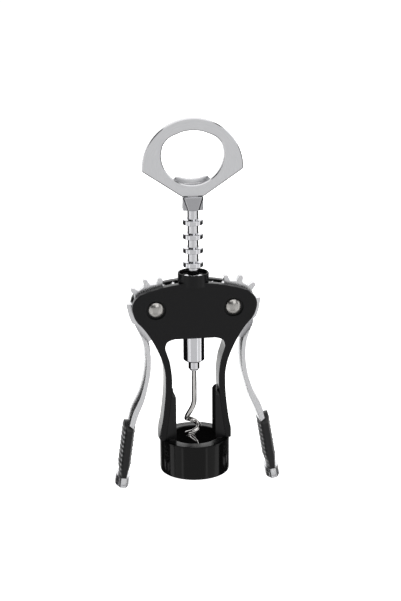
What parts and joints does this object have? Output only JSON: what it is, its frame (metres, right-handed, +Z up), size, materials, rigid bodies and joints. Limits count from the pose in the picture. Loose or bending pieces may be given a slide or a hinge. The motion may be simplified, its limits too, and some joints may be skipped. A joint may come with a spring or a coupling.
{
  "type": "lever corkscrew",
  "caption": "Lever corkscrew: a bell sits on the bottle, turning the handle drives the worm into the cork, and two geared levers pull it out.",
  "frame": {"origin": "centre of the bell's mouth, on the shaft's axis", "axes": "+Z up along the shaft from the bell to the handle, front face towards -Y, levers at -X and +X"},
  "size_m": [0.086, 0.036, 0.1896],
  "materials": {
    "frame_paint": "satin black paint on a zinc casting",
    "bell_gloss": "polished black moulding",
    "liner_plastic": "satin black moulding",
    "bush_plastic": "matt black moulding",
    "rivet_steel": "polished steel",
    "washer_steel": "plain steel",
    "lever_chrome": "satin chrome on a zinc casting",
    "grip_rubber": "dimpled soft rubber",
    "tip_chrome": "satin chrome",
    "shaft_chrome": "polished chrome",
    "barrel_chrome": "polished chrome",
    "pin_steel": "plain steel",
    "ferrule_steel": "bright steel",
    "worm_steel": "bright steel wire",
    "socket_zinc": "satin plated zinc",
    "handle_steel": "brushed steel with polished bevels"
  },
  "bodies": {
    "frame": {"frame": "frame_paint", "bell": "bell_gloss", "bell_liner": "liner_plastic", "rivet_left": "rivet_steel", "rivet_right": "rivet_steel", "rivet_washer_left": "washer_steel", "rivet_washer_right": "washer_steel"},
    "bush": {"guide_bush": "bush_plastic"},
    "screw": {"rack_shaft": "shaft_chrome", "barrel": "barrel_chrome", "barrel_pin": "pin_steel", "worm_ferrule": "ferrule_steel", "worm": "worm_steel", "stem_socket": "socket_zinc", "socket_pin": "pin_steel", "opener_handle": "handle_steel"},
    "lever_left": {"lever_left": "lever_chrome", "grip_left": "grip_rubber", "tip_left": "tip_chrome"},
    "lever_right": {"lever_right": "lever_chrome", "grip_right": "grip_rubber", "tip_right": "tip_chrome"}
  },
  "joints": [
    {"name": "screw_spin", "type": "hinge", "parent": "frame", "child": "bush", "pos_m": [0, 0, 0.1013], "axis": [0, 0, 1], "continuous": true},
    {"name": "screw_slide", "type": "slide", "parent": "bush", "child": "screw", "axis": [0, 0, 1], "range_m": [-0.0315, 0]},
    {"name": "lever_right_swing", "type": "hinge", "parent": "frame", "child": "lever_right", "pos_m": [0.01945, 0, 0.0876], "axis": [0, -1, 0], "range_deg": [0, 131.3]},
    {"name": "lever_left_swing", "type": "hinge", "parent": "frame", "child": "lever_left", "pos_m": [-0.01945, 0, 0.0876], "axis": [0, 1, 0], "range_deg": [0, 131.3]}
  ],
  "couplings": [
    {"joint": "lever_right_swing", "follows": "screw_slide", "rad_per_m": -72.722},
    {"joint": "lever_left_swing", "follows": "screw_slide", "rad_per_m": -72.722}
  ]
}
